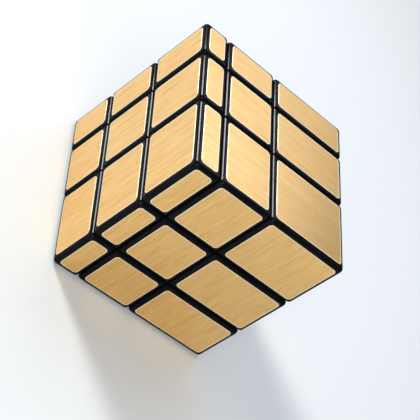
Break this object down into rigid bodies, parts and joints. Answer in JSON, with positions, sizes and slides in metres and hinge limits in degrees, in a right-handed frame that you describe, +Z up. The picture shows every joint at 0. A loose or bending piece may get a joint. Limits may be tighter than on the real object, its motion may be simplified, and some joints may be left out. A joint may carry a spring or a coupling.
{
  "type": "twisty puzzle cube",
  "caption": "Twisty puzzle cube with unequal layers and brushed foil faces, whose top and bottom layers turn on a sprung core.",
  "frame": {"origin": "centre of the cube's footprint, on the surface that it rests on", "axes": "+Z up through the 21 mm top layer, -Y towards the front with the 9 mm layer, +X towards the right with the 25 mm layer"},
  "size_m": [0.057, 0.057, 0.057],
  "materials": {
    "black_plastic": "glossy moulded",
    "core_plastic": "satin moulded",
    "bright_steel": "bright zinc plated",
    "gold_foil": "brushed gold foil"
  },
  "bodies": {
    "middle_slab": {"core": "core_plastic", "screw_right": "bright_steel", "screw_left": "bright_steel", "screw_front": "bright_steel", "screw_back": "bright_steel", "screw_bottom": "bright_steel", "screw_top": "bright_steel", "head_washer_right": "bright_steel", "head_washer_left": "bright_steel", "head_washer_front": "bright_steel", "head_washer_back": "bright_steel", "head_washer_bottom": "bright_steel", "head_washer_top": "bright_steel", "edge_left_back": "black_plastic", "edge_left_front": "black_plastic", "edge_right_back": "black_plastic", "edge_right_front": "black_plastic"},
    "right_centre": {"centre_base_right": "black_plastic", "centre_cap_right": "black_plastic", "thrust_washer_right": "bright_steel", "spring_right": "bright_steel"},
    "left_centre": {"centre_base_left": "black_plastic", "centre_cap_left": "black_plastic", "thrust_washer_left": "bright_steel", "spring_left": "bright_steel"},
    "front_centre": {"centre_base_front": "black_plastic", "centre_cap_front": "black_plastic", "thrust_washer_front": "bright_steel", "spring_front": "bright_steel"},
    "back_centre": {"centre_base_back": "black_plastic", "centre_cap_back": "black_plastic", "thrust_washer_back": "bright_steel", "spring_back": "bright_steel"},
    "bottom_spring_seat": {"thrust_washer_bottom": "bright_steel", "spring_bottom": "bright_steel"},
    "bottom_layer": {"centre_base_bottom": "black_plastic", "centre_cap_bottom": "black_plastic", "corner_left_back_bottom": "black_plastic", "corner_left_front_bottom": "black_plastic", "corner_right_back_bottom": "black_plastic", "corner_right_front_bottom": "black_plastic", "edge_back_bottom": "black_plastic", "edge_front_bottom": "black_plastic", "edge_left_bottom": "black_plastic", "edge_right_bottom": "black_plastic"},
    "top_spring_seat": {"thrust_washer_top": "bright_steel", "spring_top": "bright_steel"},
    "top_layer": {"centre_base_top": "black_plastic", "centre_cap_top": "black_plastic", "corner_left_back_top": "black_plastic", "corner_left_front_top": "black_plastic", "corner_right_back_top": "black_plastic", "corner_right_front_top": "black_plastic", "edge_back_top": "black_plastic", "edge_front_top": "black_plastic", "edge_left_top": "black_plastic", "edge_right_top": "black_plastic"}
  },
  "joints": [
    {"name": "right_centre_float", "type": "slide", "parent": "middle_slab", "child": "right_centre", "axis": [1, 0, 0], "range_m": [0, 0.0004], "stiffness_N_per_m": 600, "springref_m": -0.003, "deforming": ["spring_right"]},
    {"name": "left_centre_float", "type": "slide", "parent": "middle_slab", "child": "left_centre", "axis": [-1, 0, 0], "range_m": [0, 0.0004], "stiffness_N_per_m": 600, "springref_m": -0.003, "deforming": ["spring_left"]},
    {"name": "front_centre_float", "type": "slide", "parent": "middle_slab", "child": "front_centre", "axis": [0, -1, 0], "range_m": [0, 0.0004], "stiffness_N_per_m": 600, "springref_m": -0.003, "deforming": ["spring_front"]},
    {"name": "back_centre_float", "type": "slide", "parent": "middle_slab", "child": "back_centre", "axis": [0, 1, 0], "range_m": [0, 0.0004], "stiffness_N_per_m": 600, "springref_m": -0.003, "deforming": ["spring_back"]},
    {"name": "bottom_centre_float", "type": "slide", "parent": "middle_slab", "child": "bottom_spring_seat", "axis": [0, 0, -1], "range_m": [0, 0.0004], "stiffness_N_per_m": 600, "springref_m": -0.003, "deforming": ["spring_bottom"]},
    {"name": "top_centre_float", "type": "slide", "parent": "middle_slab", "child": "top_spring_seat", "axis": [0, 0, 1], "range_m": [0, 0.0004], "stiffness_N_per_m": 600, "springref_m": -0.003, "deforming": ["spring_top"]},
    {"name": "top_layer_turn", "type": "hinge", "parent": "top_spring_seat", "child": "top_layer", "pos_m": [-0.006, -0.01, 0.0265], "axis": [0, 0, 1], "continuous": true},
    {"name": "bottom_layer_turn", "type": "hinge", "parent": "bottom_spring_seat", "child": "bottom_layer", "pos_m": [-0.006, -0.01, 0.0265], "axis": [0, 0, 1], "continuous": true}
  ]
}
